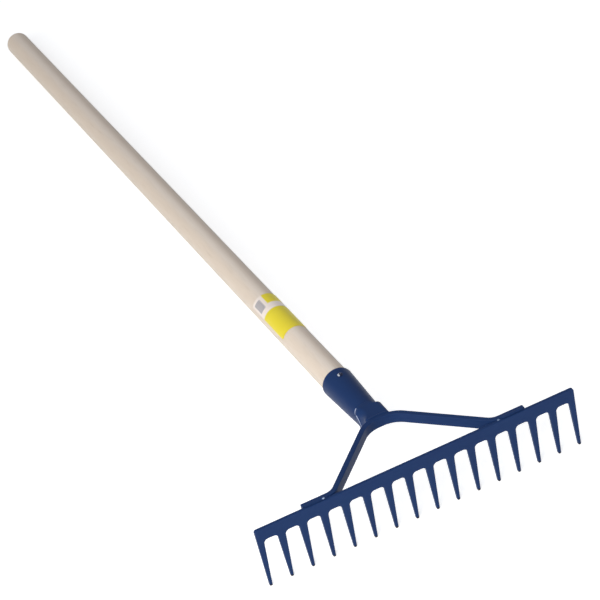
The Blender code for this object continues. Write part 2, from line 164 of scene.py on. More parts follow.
def surface(name, points, along=False, caps=False, uv=None):
    """Mesh over a grid of points, (rows, columns, 3), with faces that point outwards."""
    rows, columns = points.shape[:2]
    faces = grid_faces(rows, columns, along).tolist()
    if caps:
        faces += [list(range(columns)), list(range((rows - 1) * columns, rows * columns))]
    mesh = bpy.data.meshes.new(name)
    mesh.from_pydata(points.reshape(-1, 3), [], faces)
    if uv is not None:
        corners = np.empty(len(mesh.loops), np.int32)
        mesh.loops.foreach_get("vertex_index", corners)
        mesh.uv_layers.new(name="UVMap").data.foreach_set("uv", uv.reshape(-1, 2)[corners].ravel())
    shape = bmesh.new()
    shape.from_mesh(mesh)
    bmesh.ops.remove_doubles(shape, verts=shape.verts, dist=MERGE_DISTANCE)
    bmesh.ops.recalc_face_normals(shape, faces=shape.faces)
    shape.to_mesh(mesh)
    shape.free()
    mesh.shade_smooth()
    return mesh


print("two rows of three points, closed around, have", len(grid_faces(2, 3, along=False)), "faces")

# %% [markdown]
# ## From a mesh to a piece
#
# A piece has to say which body it moves with and which plain nodes it stands for, and it gets its finish. One
# function does all of that. It also prints how far the piece's box is from the plain one's, so that a surface
# that has slipped is seen at once.

# %% put a piece in the scene
def add_piece(name, mesh, finish, slot, *nodes):
    """Add a piece that rides on the rake, stands for these nodes and has this finish. The slot is not used.
    """
    piece = bpy.data.objects.new(name, mesh)
    bpy.context.scene.collection.objects.link(piece)
    mesh.materials.append(finish)
    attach(piece, "root")
    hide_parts(*nodes)
    points = np.array([corner for corner in piece.bound_box])
    boxes = np.array([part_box(node) for node in nodes])
    apart = np.array([points.min(0) - boxes[:, 0].min(0), points.max(0) - boxes[:, 1].max(0)])
    apart = np.abs(apart).max() * 1000
    print(f"{name}: {len(mesh.polygons)} faces, its box within {apart:.2f} mm of the plain one")


# %% [markdown]
# ## Colours and shader nodes
#
# Colours are written as the hex values that a picture editor shows. A shader needs linear light, so one
# function turns each to linear. Another one adds a shader node, sets its properties, and links or fills its
# inputs. An input goes by its name, or by its number where several share a name: those of a Math node are
# 0, 1 and 2. A Mix node that blends colours takes the amount at 0 and the two colours at 6 and 7, and gives
# the blend at 2, so these numbers get names of their own.

# %% colour and node helpers
AMOUNT, UNDER, OVER, BLEND = 0, 6, 7, 2


def linear(code):
    """Linear colour of a hex code.

    Low values are divided by 12.92, and the others, plus 0.055 and over 1.055, are raised to the power 2.4.
    """
    values = np.array([int(code[i:i + 2], 16) / 255 for i in (1, 3, 5)])
    values = np.where(values <= 0.04045, values / 12.92, ((values + 0.055) / 1.055) ** 2.4)
    return (*values, 1.0)


def add_node(tree, kind, inputs, **settings):
    """Shader node with its settings. An input that is given a socket is linked, and any other is filled."""
    made = tree.nodes.new("ShaderNode" + kind)
    for name, value in settings.items():
        setattr(made, name, value)
    for name, value in inputs.items():
        if isinstance(value, bpy.types.NodeSocket):
            tree.links.new(value, made.inputs[name])
        else:
            made.inputs[name].default_value = value
    return made


def new_material(name, **values):
    """Material with a Principled shader whose own sockets hold what is the same all over."""
    made = bpy.data.materials.new(name)
    made.use_nodes = True
    shader = made.node_tree.nodes["Principled BSDF"]
    for socket, value in values.items():
        shader.inputs[socket.replace("_", " ")].default_value = value
    return made, made.node_tree, shader


print(f"the middle grey #808080 is {linear('#808080')[0]:.3f} in linear light")

# %% [markdown]
# ## Navy enamel
#
# The head is mild steel, dipped or sprayed with a semi-gloss alkyd enamel, which hides the metal and shines
# softly. Its index of refraction is about 1.5, and its shine is turned down to that of the photograph. The
# film is a little uneven: its thickness changes over some centimetres, which shifts its blue. So a cloudy
# noise between a deeper and a paler blue is laid over the even one, by a little less than half.

# %% enamel film
ENAMEL_BLUE, ENAMEL_DEEP, ENAMEL_PALE = linear("#1B3563"), linear("#1E2E57"), linear("#25406B")
CLOUD_SIZE, CLOUD_AMOUNT = 0.045, 0.45

enamel, tree, shader = new_material("navy_alkyd_enamel", Roughness=0.42, IOR=1.5, Specular_IOR_Level=0.1)
place = add_node(tree, "TexCoord", {}).outputs["Object"]
clouds = add_node(tree, "TexNoise", {"Vector": place, "Scale": 1 / CLOUD_SIZE, "Detail": 3.0})
cloudy = add_node(tree, "Mix", {AMOUNT: clouds.outputs["Fac"], UNDER: ENAMEL_DEEP, OVER: ENAMEL_PALE},
                  data_type="RGBA")
film = add_node(tree, "Mix", {AMOUNT: CLOUD_AMOUNT, UNDER: ENAMEL_BLUE, OVER: cloudy.outputs[BLEND]},
                data_type="RGBA")
print(f"the film's blue changes over about {CLOUD_SIZE * 1000:.0f} mm")

# %% [markdown]
# ### Worn tips
#
# On the tips of the teeth the film is thin, and the dark mill scale of the steel shows through it. To make
# the edge of the wear ragged, a noise with patches of about 2 mm is added to the height above the floor.
# Below the lower limit the scale shows fully, and above the upper one the film is whole.

# %% worn tips
MILL_SCALE = linear("#2F2C33")
WEAR_PATCH, WEAR_RAGGED = 0.002, 0.0035
WEAR_FULL, WEAR_NONE = 0.0030, 0.0048

height = add_node(tree, "SeparateXYZ", {"Vector": place}).outputs["Z"]
ragged = add_node(tree, "TexNoise", {"Vector": place, "Scale": 1 / WEAR_PATCH, "Detail": 2.0})
lifted = add_node(tree, "Math", {0: ragged.outputs["Fac"], 1: WEAR_RAGGED, 2: height},
                  operation="MULTIPLY_ADD")
worn = add_node(tree, "MapRange", {"Value": lifted.outputs[0], "From Min": WEAR_NONE, "From Max": WEAR_FULL})
skin = add_node(tree, "Mix", {AMOUNT: worn.outputs[0], UNDER: film.outputs[BLEND], OVER: MILL_SCALE},
                data_type="RGBA")
print(f"the wear ends {WEAR_NONE * 1000:.1f} mm up the teeth at the most")

# %% [markdown]
# ### Painted highlights on the welds
#
# Beside each foot's bend a pale spot is painted into the enamel: a painted highlight where the tack weld
# catches the light. Each is a spot round a point on the surface, soft at its edge. A distance along X is
# counted as less than it is, so the spot is drawn out along the seam.

# %% painted highlights on the welds
# Pale colour painted at two points on the foot welds: a painted highlight where the tack welds catch the
# light.
TACK_GLINT_PALE = linear("#AFC4E2")
TACK_GLINT_SPOTS = ((-0.1143, -0.7122, 0.0802), (0.1050, -0.7113, 0.0790))
TACK_GLINT_SIZE, TACK_GLINT_SOFTNESS, TACK_GLINT_STRETCH = 0.0009, 0.4, (0.6, 1.0, 1.0)

drawn = add_node(tree, "VectorMath", {0: place, 1: TACK_GLINT_STRETCH}, operation="MULTIPLY").outputs[0]
left_spot, right_spot = (
    add_node(tree, "VectorMath", {0: drawn, 1: tuple(np.multiply(spot, TACK_GLINT_STRETCH))},
             operation="DISTANCE").outputs["Value"] for spot in TACK_GLINT_SPOTS)
nearer = add_node(tree, "Math", {0: left_spot, 1: right_spot}, operation="MINIMUM")
painted_glint = add_node(tree, "MapRange", {"Value": nearer.outputs[0],
                                   "From Min": TACK_GLINT_SIZE * (1 + TACK_GLINT_SOFTNESS),
                                   "From Max": TACK_GLINT_SIZE * (1 - TACK_GLINT_SOFTNESS)})
# The painted highlight is mixed over the enamel's colour.
skin = add_node(tree, "Mix", {AMOUNT: painted_glint.outputs[0], UNDER: skin.outputs[BLEND], OVER: TACK_GLINT_PALE},
                data_type="RGBA")
print(len(TACK_GLINT_SPOTS), "painted highlights on the welds")

# %% [markdown]
# ### Orange peel
#
# Sprayed enamel dries with a skin of shallow dimples about a millimetre across, called orange peel. They
# only break up the gloss, so they are a bump and not a shape.

# %% orange peel
PEEL_SIZE, PEEL_DEPTH, PEEL_STRENGTH = 0.0011, 0.00008, 0.35

peel = add_node(tree, "TexNoise", {"Vector": place, "Scale": 1 / PEEL_SIZE, "Detail": 1.0})
relief = add_node(tree, "Bump", {"Height": peel.outputs["Fac"], "Strength": PEEL_STRENGTH,
                                 "Distance": PEEL_DEPTH})
tree.links.new(skin.outputs[BLEND], shader.inputs["Base Color"])
tree.links.new(relief.outputs["Normal"], shader.inputs["Normal"])
print("enamel:", len(tree.nodes), "nodes")

# %% [markdown]
# ## Turned ash
#
# The handle is a pale hardwood such as ash, turned round and sanded, without varnish, so it is matt. Its
# patterns are made in the handle's own directions, so that the butt shows end grain. Paler and warmer bands
# lie in rings round the pith of the tree, which was outside the stock. Growth rings are about 3 mm apart,
# but the photograph shows only soft bands of several rings, so these are drawn 19 mm apart. Streaks 1 mm
# wide and 20 mm long make their edges wander. At scale 1 Blender's wave texture draws 20 rings in a length
# of 2 pi, and its scale here follows from that.

# %% ash bands
ASH_PALE, ASH_WARM = linear("#ECDFD0"), linear("#E3D1BC")
PITH = (-0.021, 0.0, 0.060)
BAND_SPACING, BAND_AMOUNT, WAVE_LENGTH = 0.01885, 0.55, 2 * math.pi / 20
STREAK_WIDTH, STREAK_LENGTH, STREAK_WANDER = 0.001, 0.020, 1.6

ash, tree, shader = new_material("turned_ash", Roughness=0.68, IOR=1.45, Specular_IOR_Level=0.15)
place = add_node(tree, "TexCoord", {}).outputs["Object"]
level = add_node(tree, "Mapping", {"Vector": place, "Rotation": (tilt, 0.0, 0.0)})
stock = add_node(tree, "Mapping", {"Vector": level.outputs[0], "Location": tuple(-x for x in PITH)})
squeezed = add_node(tree, "Mapping", {"Vector": stock.outputs[0],
                                      "Scale": (1.0, STREAK_WIDTH / STREAK_LENGTH, 1.0)})
wave_scale = WAVE_LENGTH / BAND_SPACING
rings = add_node(tree, "TexWave", {"Vector": squeezed.outputs[0], "Scale": wave_scale,
                                   "Distortion": STREAK_WANDER, "Detail": 2.0,
                                   "Detail Scale": 1 / (STREAK_WIDTH * wave_scale)},
                 wave_type="RINGS", rings_direction="Y")
growth = add_node(tree, "Math", {0: rings.outputs["Fac"], 1: BAND_AMOUNT}, operation="MULTIPLY")
wood = add_node(tree, "Mix", {AMOUNT: growth.outputs[0], UNDER: ASH_PALE, OVER: ASH_WARM}, data_type="RGBA")
print(f"the wood's bands are {BAND_SPACING * 1000:.0f} mm apart")

# %% [markdown]
# ### Pores
#
# Ash has open pores: fine dark lines along the grain, some tens of millimetres long. A noise that is drawn
# out along the handle shows only above a limit, as lines. Real pores are about 0.3 mm wide, which is lost
# in the picture, so they are drawn 0.6 mm wide and only partly dark.

# %% ash pores
ASH_PORE = linear("#A8977F")
PORE_WIDTH, PORE_LENGTH, PORE_DEPTH, PORE_STRENGTH = 0.0006, 0.030, 0.00005, 0.3
PORE_FROM, PORE_FULL, PORE_AMOUNT = 0.58, 0.75, 0.35

fibres = add_node(tree, "Mapping", {"Vector": stock.outputs[0],
                                    "Scale": (1 / PORE_WIDTH, 1 / PORE_LENGTH, 1 / PORE_WIDTH)})
pores = add_node(tree, "TexNoise", {"Vector": fibres.outputs[0], "Scale": 1.0, "Detail": 3.0})
dark = add_node(tree, "MapRange", {"Value": pores.outputs["Fac"], "From Min": PORE_FROM,
                                   "From Max": PORE_FULL, "To Max": PORE_AMOUNT})
grain = add_node(tree, "Mix", {AMOUNT: dark.outputs[0], UNDER: wood.outputs[BLEND], OVER: ASH_PORE},
                 data_type="RGBA")
relief = add_node(tree, "Bump", {"Height": pores.outputs["Fac"], "Strength": PORE_STRENGTH,
                                 "Distance": PORE_DEPTH})
tree.links.new(grain.outputs[BLEND], shader.inputs["Base Color"])
tree.links.new(relief.outputs["Normal"], shader.inputs["Normal"])
print("ash:", len(tree.nodes), "nodes")

# %% [markdown]
# ## Handle and socket
#
# Both are turned shapes: a profile of radius against distance, carried round the axis. The butt is a
# quarter of an ellipse, and the tenon inside the socket is a plain taper. The socket is a sleeve whose rim
# is rounded over. Rings are set close together where the surface turns a corner, so that smooth shading
# leaves the flats flat.

# %% turned shapes
TURNS = 128
EDGE_RINGS = 10


def quarter_turn(steps):
    """Angles from 0 to a right angle, closer together at both ends.

    Each is a quarter of pi times one minus the cosine of an even step from 0 to pi.
    """
    return np.pi / 4 * (1 - np.cos(np.linspace(0, np.pi, steps + 1)))


def turned(name, radius, s, along=False):
    """Surface of a profile carried round the handle's axis: the same radius at every turn."""
    turns = np.linspace(0, 2 * np.pi, TURNS, endpoint=False)
    return surface(name, about_axis(np.array(radius)[:, None], turns, np.array(s)[:, None]), along=along)


print("a rounded edge turns at", np.degrees(quarter_turn(EDGE_RINGS)).round(1), "degrees")

# %% handle
TENON_CHAMFER = 0.0015
BUTT_RINGS, SHANK_RINGS = 24, 60

corner = quarter_turn(BUTT_RINGS)
tenon_radius = socket_radius(tenon_end_s) - SOCKET_WALL - GAP
shank = np.linspace(run, rim_s, SHANK_RINGS)
radius = [*(HANDLE_RADIUS * np.sin(corner)), *np.full(SHANK_RINGS, HANDLE_RADIUS),
          tenon_radius, tenon_radius - TENON_CHAMFER, 0.0]
s = [*(run + BUTT_LENGTH * np.cos(corner)), *shank, tenon_end_s + TENON_CHAMFER, tenon_end_s, tenon_end_s]
add_piece("turned_handle", turned("turned_handle", radius, s), ash, "wood", "handle")

# %% socket
LIP_RADIUS = 0.0006
SLEEVE_RINGS = 24

corner = quarter_turn(EDGE_RINGS)
outer_s = np.linspace(rim_s - LIP_RADIUS, GAP, SLEEVE_RINGS)
outer_rim = SOCKET_RIM_RADIUS - LIP_RADIUS
radius = [*(outer_rim + LIP_RADIUS * np.sin(corner)), *socket_radius(outer_s)[1:],
          SOCKET_END_RADIUS - SOCKET_WALL, SOCKET_RIM_RADIUS - SOCKET_WALL]
s = [*(rim_s - LIP_RADIUS + LIP_RADIUS * np.cos(corner)), *outer_s[1:], GAP, rim_s]
sleeve = turned("socket_sleeve", radius, s, along=True)
add_piece("socket_sleeve", sleeve, enamel, "painted_steel", "socket")

# %% [markdown]
# ## Rounded corners
#
# The brace and the tooth plate are both drawn as corners first, with an arc at each. One function rounds a
# whole row of corners at once and also gives the direction square to the path at every point, which the
# next steps use to move it sideways. A second one draws rounded rectangles, one row for each, as sections
# of a bar.

# %% arcs
def corner_arcs(before, corner, after, radius, steps):
    """Arcs that round corners: each centre is on the bisector, radius over the sine of half the angle away.

    Spokes turn evenly about it from one side to the other. Returns their ends, and the directions to the
    left of the path there: the spokes themselves, or their opposites where the path turns left.
    """
    back = (before - corner) / np.linalg.norm(before - corner, axis=1, keepdims=True)
    ahead = (after - corner) / np.linalg.norm(after - corner, axis=1, keepdims=True)
    half = np.arccos((back * ahead).sum(axis=1, keepdims=True)) / 2
    inward = (back + ahead) / (2 * np.cos(half))
    first = back / np.tan(half) - inward / np.sin(half)
    last = ahead / np.tan(half) - inward / np.sin(half)
    share, turn = np.linspace(0, 1, steps + 1)[None, :, None], np.pi - 2 * half[:, :, None]
    spokes = np.sin((1 - share) * turn) * first[:, None] + np.sin(share * turn) * last[:, None]
    spokes = spokes / np.sin(turn)
    radius = radius[:, None]
    centre = corner + inward * radius / np.sin(half)
    side = np.sign(back[:, 0] * ahead[:, 1] - back[:, 1] * ahead[:, 0])
    return centre[:, None] + spokes * radius[:, None], spokes * side[:, None, None]


# %% sections
def rounded_section(half_width, top, bottom, top_radius, bottom_radius, corner_points=9):
    """Rounded rectangles, one row each: quarter circles about four corner centres, with straight sides."""
    half_width, top, bottom, top_radius, bottom_radius = (
        np.atleast_1d(value)[:, None] for value in (half_width, top, bottom, top_radius, bottom_radius))
    corner = np.repeat(np.arange(4), corner_points)
    angle = corner * np.pi / 2 + np.tile(quarter_turn(corner_points - 1), 4)
    radius = np.where(corner < 2, top_radius, bottom_radius)
    across = np.where(corner % 3 == 0, half_width - radius, radius - half_width) + radius * np.cos(angle)
    return across, np.where(corner < 2, top - radius, bottom + radius) + radius * np.sin(angle)


# %% [markdown]
# ## The brace
#
# One flat steel bar, 12.7 by 6.35 mm, bent the flat way into a V with two feet. It is a rounded rectangle
# carried along a path. The rows nearest to each end are drawn in by the same small radius, so that the ends
# are rounded.

# %% brace path
BRACE_SPAN, BEND_SPREAD, APEX_SPREAD = 0.2787, 0.1979, 0.0309
BEND_RADIUS, APEX_RADIUS, BAR_EDGE_RADIUS = 0.021, 0.030, 0.0007
BEND_STEPS = 20

across = np.array([-BRACE_SPAN, -BEND_SPREAD, -APEX_SPREAD, APEX_SPREAD, BEND_SPREAD, BRACE_SPAN]) / 2
corners = np.stack([across, np.where(np.abs(across) > APEX_SPREAD, bar_front, apex_front)], axis=1)
radii = np.array([BEND_RADIUS, APEX_RADIUS, APEX_RADIUS, BEND_RADIUS])
arcs, lefts = corner_arcs(corners[:-2], corners[1:-1], corners[2:], radii, BEND_STEPS)

corner = quarter_turn(EDGE_RINGS)
end_inset, end_offset = BAR_EDGE_RADIUS * (1 - np.sin(corner)), BAR_EDGE_RADIUS * (1 - np.cos(corner))
left_end = np.stack([end_offset - BRACE_SPAN / 2, np.full(len(corner), bar_front)], axis=1)
path = np.concatenate([left_end, arcs.reshape(-1, 2), left_end[::-1] * (-1, 1)])
backward = np.concatenate([[(0, 1)] * len(corner), lefts.reshape(-1, 2), [(0, 1)] * len(corner)])
bar_length = np.linalg.norm(np.diff(path, axis=0), axis=1).sum()
print(f"the bar is {bar_length * 1000:.0f} mm long before it is bent")

# %% brace
inset = np.concatenate([end_inset, np.zeros(arcs.shape[0] * arcs.shape[1]), end_inset[::-1]])
depth, up = rounded_section(BAR_THICKNESS / 2 - inset, BAR_WIDTH / 2 - inset, inset - BAR_WIDTH / 2,
                            BAR_EDGE_RADIUS - inset, BAR_EDGE_RADIUS - inset)
plan = path[:, None] + backward[:, None] * (BAR_THICKNESS / 2 + depth[..., None])
points = np.concatenate([plan, BAR_TOP - BAR_WIDTH / 2 + up[..., None]], axis=2)
add_piece("bent_brace", surface("bent_brace", points, caps=True), enamel, "painted_steel", "brace_bar")

# %% [markdown]
# ## The neck
#
# Between the socket and the brace is a solid forging. Its collar is square-shouldered on top and round
# below, and it is drawn out to a flat tongue that meets the bar's back. A spigot goes into the socket. Each
# row of the grid is one section: three of the spigot, then the collar's rounded edge, then a loft to the
# tongue. The belly is taken in at nearly an even rate, and all other sizes ease from the collar's to the
# tongue's.

# %% neck sections
COLLAR_HALF_WIDTH, COLLAR_BELLY = 0.0164, 0.0162
COLLAR_CORNER_RADIUS, COLLAR_EDGE_RADIUS = 0.0075, 0.0012
TONGUE_HALF_WIDTH, TONGUE_CORNER, BELLY_POWER = 0.015, 0.0035, 1.2
SPIGOT_CHAMFER, LOFT_ROWS, CORNER_POINTS = 0.001, 48, 28

spigot_radius = SOCKET_END_RADIUS - SOCKET_WALL - GAP
spigot = np.array([spigot_radius - SPIGOT_CHAMFER, spigot_radius, spigot_radius])
corner = quarter_turn(EDGE_RINGS)
inset = COLLAR_EDGE_RADIUS * (1 - np.sin(corner))
share = np.linspace(0, 1, LOFT_ROWS)[1:]
tongue_bottom = BAR_TOP - BAR_WIDTH - axis_height


def rows(collar, tongue, spigot_value, eased=share ** 2 * (3 - 2 * share)):
    """One value of every section: the spigot's, the collar's inside its edge, then eased to the tongue's.

    The ease is three times the square of the share of the way, less twice its cube.
    """
    return np.concatenate([spigot_value, collar, collar[-1] + (tongue - collar[-1]) * eased])


half_width = rows(COLLAR_HALF_WIDTH - inset, TONGUE_HALF_WIDTH, spigot)
top = rows(COLLAR_RISE - inset, COLLAR_RISE, spigot)
bottom = rows(inset - COLLAR_BELLY, tongue_bottom, -spigot, share ** BELLY_POWER)
top_radius = rows(COLLAR_CORNER_RADIUS - inset, TONGUE_CORNER, spigot)
bottom_radius = rows(COLLAR_BELLY - inset, TONGUE_CORNER, spigot)
across, up = rounded_section(half_width, top, bottom, top_radius, bottom_radius, corner_points=CORNER_POINTS)
print(f"the neck narrows from {2000 * COLLAR_HALF_WIDTH:.1f} mm to {2000 * TONGUE_HALF_WIDTH:.1f} mm")

# %% [markdown]
# ### The ground-off corner
#
# On this rake the neck's top left corner is ground off between the collar and the tongue. So each point
# there is moved inwards, the more the further left and up it lies. The move grows from nothing at the
# collar to its most halfway and is gone at the tongue: four times the share of the way times one minus that
# share. The flat sides, one face wide so far, first get more points, so that they can follow.

# %% ground-off corner
FLAT_POINTS = 12
GROUND_OFF, GROUND_POWER = 0.0042, 1.5

step = np.append(np.arange(CORNER_POINTS - 1), CORNER_POINTS - 1 + np.linspace(0, 1, FLAT_POINTS)[:-1])
step = (step + CORNER_POINTS * np.arange(4)[:, None]).ravel()
before, part = step.astype(int), step % 1
after = (before + 1) % (4 * CORNER_POINTS)
across, up = (value[:, before] * (1 - part) + value[:, after] * part for value in (across, up))
along_neck = np.concatenate([np.zeros(len(up) - len(share)), share])[:, None]
to_left, to_top = np.clip(-across / COLLAR_HALF_WIDTH, 0, 1), np.clip(up / COLLAR_RISE, 0, 1)
ground = GROUND_OFF * 4 * along_neck * (1 - along_neck) * to_left * to_top ** GROUND_POWER
across = across + ground
print(f"up to {ground.max() * 1000:.1f} mm is ground off")

# %% [markdown]
# ### The ridge
#
# The hammer has left a low ridge along the neck's left side, which falls from the collar's shoulder to the
# middle of the side. Each section is pushed outwards there by a bell curve round the ridge's turn. The list
# of turns says where it lies at some shares of the way. It swells over the collar's edge and dies out at
# the tongue. The outline of the full collar is kept for the weld that is laid against it.

# %% ridge along the neck's left side
RIDGE_HEIGHT, RIDGE_SPREAD, RIDGE_POWER = 0.0006, math.radians(8), 1.5
RIDGE_SHARES = (0.0, 0.08, 0.18, 0.28, 0.4, 1.0)
RIDGE_TURNS = np.radians([-57, -62, -69, -78, -89, -95])

around = np.arctan2(across, up)
away = around - np.interp(along_neck, RIDGE_SHARES, RIDGE_TURNS)
swell = np.concatenate([np.zeros(len(spigot)), 1 - inset / inset[0], 1 - share ** RIDGE_POWER])[:, None]
ridge = RIDGE_HEIGHT * swell * np.exp(-(away / RIDGE_SPREAD) ** 2)
across, up = across + ridge * np.sin(around), up + ridge * np.cos(around)
full_row = len(spigot) + EDGE_RINGS
collar_turns, collar_reach = around[full_row], np.hypot(across, up)[full_row]
print(f"the ridge stands up to {ridge.max() * 1000:.1f} mm proud")

# %% [markdown]
# ### Painted highlight on the edges
#
# Along the crest of the ridge, and on the edge of the weld beside it, a pale tone is painted into the enamel:
# a painted highlight where these edges catch the light. It is the same paint with one more layer: the X of a
# UV map says how near a point is to the crest, and only close to 1 does the pale tone show.

# %% painted highlight on the edges
# A pale tone painted along edges: a painted highlight on the enamel.
EDGE_HIGHLIGHT_PALE = linear("#C0CBE8")
EDGE_HIGHLIGHT_FROM, EDGE_HIGHLIGHT_FULL = 0.84, 0.97

edge_highlight_enamel = enamel.copy()
edge_highlight_enamel.name = "enamel_with_painted_edge_highlight"
tree = edge_highlight_enamel.node_tree
shader = tree.nodes["Principled BSDF"]
uv_place = add_node(tree, "TexCoord", {}).outputs["UV"]
crest = add_node(tree, "SeparateXYZ", {"Vector": uv_place}).outputs["X"]
# How much of the painted highlight shows, from the UV map's X.
edge_highlight = add_node(tree, "MapRange", {"Value": crest, "From Min": EDGE_HIGHLIGHT_FROM, "From Max": EDGE_HIGHLIGHT_FULL})
film = shader.inputs["Base Color"].links[0].from_socket
film = add_node(tree, "Mix", {AMOUNT: edge_highlight.outputs[0], UNDER: film, OVER: EDGE_HIGHLIGHT_PALE}, data_type="RGBA")
tree.links.new(film.outputs[BLEND], shader.inputs["Base Color"])
print("enamel with a painted edge highlight:", len(tree.nodes), "nodes")

# %% [markdown]
# ### From the sections to the neck
#
# The spigot and the collar are square to the handle, so their sections lean by its tilt, and the loft
# stands up straight by the tongue. There the end of the neck is cut to a saddle for the bar's curved back:
# the last rows slide from a plane onto that curve and then shrink to a point.

# %% neck loft
TONGUE_LAND = 0.003

spigot_s = np.array([SPIGOT_LENGTH, SPIGOT_LENGTH - SPIGOT_CHAMFER, 0.0])
loft_start, loft_end = COLLAR[1] - COLLAR_EDGE_RADIUS, apex_back + TONGUE_LAND
y = np.concatenate([COLLAR[1] + spigot_s * math.cos(tilt),
                    loft_start + COLLAR_EDGE_RADIUS * np.cos(corner),
                    loft_start + (loft_end - loft_start) * share])[:, None]
sunk = np.concatenate([spigot_s * math.sin(tilt), np.zeros(len(y) - len(spigot))])[:, None]
lean = np.concatenate([np.full(len(y) - len(share), tilt), tilt * (1 - share)])[:, None]
loft = np.stack([across, y + up * np.sin(lean), axis_height - sunk + up * np.cos(lean)], axis=2)
print(f"the loft is {(loft_start - loft_end) * 1000:.1f} mm long")

# %% saddle and neck
SADDLE_ROWS, EDGE_HIGHLIGHT_REACH = 8, math.radians(24)

back = path + backward * (BAR_THICKNESS + GAP)
step = np.linspace(0, 1, SADDLE_ROWS)[1:]
slide = np.concatenate([step, np.ones(SADDLE_ROWS - 1)])[:, None]
shrink = np.concatenate([np.ones(SADDLE_ROWS - 1), 1 - step])[:, None]
saddle_x = across[-1] * shrink
saddle_y = loft_end + (np.interp(saddle_x, back[:, 0], back[:, 1]) - loft_end) * slide
middle = axis_height + (top[-1] + bottom[-1]) / 2
saddle = np.stack([saddle_x, saddle_y, middle + (axis_height + up[-1] - middle) * shrink], axis=2)
# Near the ridge's crest the UV map's X rises towards 1, where the painted highlight shows.
edge_highlight_share = np.concatenate([np.clip(1 - abs(away) / EDGE_HIGHLIGHT_REACH, 0, 1), np.zeros(saddle.shape[:2])])
neck_mesh = surface("forged_neck", np.concatenate([loft, saddle]), caps=True,
                    uv=np.stack([edge_highlight_share, np.zeros_like(edge_highlight_share)], axis=2))
add_piece("forged_neck", neck_mesh, edge_highlight_enamel, "painted_steel", "neck")

# %% [markdown]
# ## The tooth plate
#
# The plate is cut from 4 mm sheet: a straight spine with sixteen tapered teeth, round roots between them,
# and edges that are a little rounded. Its outline is moved inwards step by step along the plate's
# thickness, which makes the rounded edge, and the two flat faces close it. A last step inwards on each face
# keeps it flat.

# %% plate outline
HEAD_WIDTH, PLATE_HEIGHT, SPINE_DEPTH, PLATE_CORNER_RADIUS = 0.400, 0.079, 0.016, 0.003
TOOTH_COUNT, END_TOOTH_INSET = 16, 0.0035
ROOT_WIDTH, TIP_WIDTH, ROOT_RADIUS, TIP_RADIUS = 0.0096, 0.0033, 0.005, 0.0014
OUTLINE_STEPS = 10

middles = np.linspace(END_TOOTH_INSET - HEAD_WIDTH / 2, HEAD_WIDTH / 2 - END_TOOTH_INSET, TOOTH_COUNT)
tooth_x = (middles[:, None] + np.array([-ROOT_WIDTH, -TIP_WIDTH, TIP_WIDTH, ROOT_WIDTH]) / 2).ravel()[1:-1]
tooth_z = np.tile([PLATE_HEIGHT - SPINE_DEPTH, 0, 0, PLATE_HEIGHT - SPINE_DEPTH], TOOTH_COUNT)[1:-1]
tooth_r = np.tile([ROOT_RADIUS, TIP_RADIUS, TIP_RADIUS, ROOT_RADIUS], TOOTH_COUNT)[1:-1]
corners = np.stack([np.concatenate([[-HEAD_WIDTH / 2], tooth_x, [HEAD_WIDTH / 2]]),
                    np.concatenate([[PLATE_HEIGHT], tooth_z, [PLATE_HEIGHT]])], axis=1)
radii = np.concatenate([[PLATE_CORNER_RADIUS], tooth_r, [PLATE_CORNER_RADIUS]])
before, after = np.roll(corners, 1, axis=0), np.roll(corners, -1, axis=0)
arcs, lefts = corner_arcs(before, corners, after, radii, OUTLINE_STEPS)
outline, inward = arcs.reshape(-1, 2), lefts.reshape(-1, 2)
print(f"{TOOTH_COUNT} teeth, {np.diff(middles)[0] * 1000:.1f} mm apart")

# %% plate
PLATE_EDGE_RADIUS, FACE_MARGIN = 0.0005, 0.0003

corner = quarter_turn(EDGE_RINGS)
inset = np.concatenate([[PLATE_EDGE_RADIUS + FACE_MARGIN], PLATE_EDGE_RADIUS * (1 - np.sin(corner))])
depth = np.concatenate([[0.0], PLATE_EDGE_RADIUS * (1 - np.cos(corner))])
inset = np.concatenate([inset, inset[::-1]])[:, None, None]
depth = np.concatenate([depth, PLATE_THICKNESS - depth[::-1]])[:, None]
flat = outline[None] + inward[None] * inset
points = np.stack([flat[..., 0], plate_front + np.broadcast_to(depth, flat.shape[:2]), flat[..., 1]], axis=2)
plate = surface("toothed_plate", points, caps=True)
add_piece("toothed_plate", plate, enamel, "painted_steel", "tooth_plate")

# %% [markdown]
# ## Weld beads
#
# Each foot is welded to the plate along its top and in the corner below it, and the neck to the brace above
# and below. A hand-laid bead is a row of small pools, each frozen behind the last: its ripples are about
# 1.6 mm apart and bowed, because the middle of a pool stays hot the longest. The bead swells from nothing
# at both ends.

# %% bead ripples
RIPPLE_PITCH, RIPPLE_DEPTH, RIPPLE_BOW = 0.0016, 0.18, 0.55
BEAD_ROWS, BEAD_FADE = 200, 8

BEAD_ALONG = np.sin(np.linspace(-np.pi / 2, np.pi / 2, BEAD_ROWS))
BEAD_SIZE = np.sqrt(1 - np.abs(BEAD_ALONG) ** BEAD_FADE)


def ripples(length, aside):
    """Size of a bead's section over its ripples: one, less RIPPLE_DEPTH where a sine is 0.

    The sine is of pi times the sum of the distance over the pitch and the bow times the square of aside,
    which is 0 at the crest and 1 at the edges.
    """
    phase = length[:, None] / RIPPLE_PITCH + RIPPLE_BOW * aside[None] ** 2
    return 1 - RIPPLE_DEPTH * (1 - np.abs(np.sin(np.pi * phase)))


print(f"between two ripples the bead dips to {ripples(np.zeros(1), np.zeros(1)).item():.2f} of its size")

# %% bead shapes
DOME_POINTS = 17


